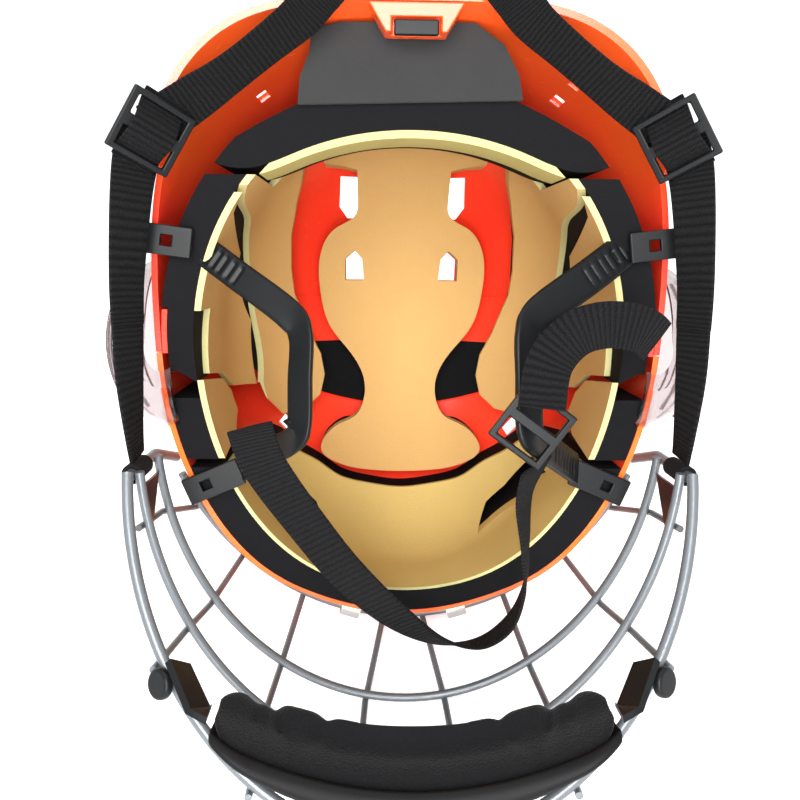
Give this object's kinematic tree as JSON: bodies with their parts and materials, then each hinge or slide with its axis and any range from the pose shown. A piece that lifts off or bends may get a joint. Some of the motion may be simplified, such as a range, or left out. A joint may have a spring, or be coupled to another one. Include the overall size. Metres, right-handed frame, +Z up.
{
  "type": "ice hockey helmet with face cage",
  "caption": "Ice hockey helmet lying face down on its brow and wire cage, with foam pads, ear loops, straps and a padded chin cup.",
  "frame": {"origin": "centre of the bounding box's base, on the plane the helmet rests on when it lies face down on its brow and cage", "axes": "+X to the wearer's right, +Y to the back of the lying helmet (the crown side), +Z up; the helmet's opening faces up and to -Y"},
  "size_m": [0.28, 0.3422, 0.3191],
  "materials": {
    "shell_orange": "moulded polycarbonate shell, glossy",
    "pad_tan": "closed-cell foam, matt",
    "liner_black": "black foam backing, matt",
    "nape_black": "dense black foam, matt",
    "nape_yellow": "yellow-green foam, matt",
    "sheet_grey": "grey foam sheet, matt",
    "clear": "clear polycarbonate",
    "hardware_black": "black moulded nylon, satin",
    "webbing": "woven polyester webbing, ribbed",
    "cushion": "fabric-covered foam, matt",
    "wire": "steel wire, satin silver coat",
    "gusset": "dark red-brown coat",
    "screw": "plated screws",
    "snap": "black round snaps"
  },
  "bodies": {
    "helmet": {"front_shell": "shell_orange", "crown_pad": "pad_tan", "crown_backing": "liner_black", "forehead_pad": "pad_tan", "forehead_liner": "liner_black", "temple_pad_right": "pad_tan", "temple_pad_left": "pad_tan", "temple_liner_right": "liner_black", "temple_liner_left": "liner_black", "ear_guard_right": "clear", "ear_guard_left": "clear", "front_clip_right": "hardware_black", "front_clip_left": "hardware_black", "ear_loop_right": "hardware_black", "ear_loop_left": "hardware_black", "loop_rear_leg_right": "hardware_black", "loop_rear_leg_left": "hardware_black", "front_strap_right": "webbing", "front_strap_left": "webbing", "chin_strap": "webbing", "strap_tail": "webbing", "chin_buckle": "hardware_black", "brow_clips": "hardware_black", "brow_screws": "screw"},
    "rear_shell": {"rear_shell": "shell_orange", "overlap_strip": "liner_black", "inner_side_pad_right": "pad_tan", "inner_side_pad_left": "pad_tan", "outer_side_pad_right": "pad_tan", "outer_side_pad_left": "pad_tan", "side_liner_right": "liner_black", "side_liner_left": "liner_black", "rear_clip_right": "hardware_black", "rear_clip_left": "hardware_black", "tri_glide_right": "hardware_black", "tri_glide_left": "hardware_black", "rear_strap_right": "webbing", "rear_strap_left": "webbing", "nape_pad": "nape_black", "nape_lining": "nape_yellow", "tail_sheet": "sheet_grey", "latch_boss": "shell_orange"},
    "cage": {"brow_wire": "wire", "upper_wire": "wire", "lower_wire": "wire", "jaw_wire": "wire", "side_bar_right": "wire", "side_bar_left": "wire", "strap_eye_right": "webbing", "strap_eye_left": "webbing", "upright_pair_1": "wire", "upright_pair_2": "wire", "upright_pair_3": "wire", "upright_pair_4": "wire", "gusset_plates": "gusset", "chin_cup": "hardware_black", "chin_cushion": "cushion", "cup_tabs": "hardware_black", "cup_snaps": "snap"},
    "latch": {"latch_lever": "hardware_black"}
  },
  "joints": [
    {"name": "cage_flip", "type": "hinge", "parent": "helmet", "child": "cage", "pos_m": [0, -0.01471, 0.01343], "axis": [1, 0, 0], "range_deg": [0, 30], "deforming": ["front_strap_right", "front_strap_left"]},
    {"name": "size_adjust", "type": "slide", "parent": "helmet", "child": "rear_shell", "axis": [0, 0.3854, 0.9227], "range_m": [0, 0.012], "deforming": ["front_strap_right", "front_strap_left", "loop_rear_leg_right", "loop_rear_leg_left"]},
    {"name": "latch_flip", "type": "hinge", "parent": "rear_shell", "child": "latch", "pos_m": [0, 0.02028, 0.29834], "axis": [-1, 0, 0], "range_deg": [0, 50]}
  ]
}
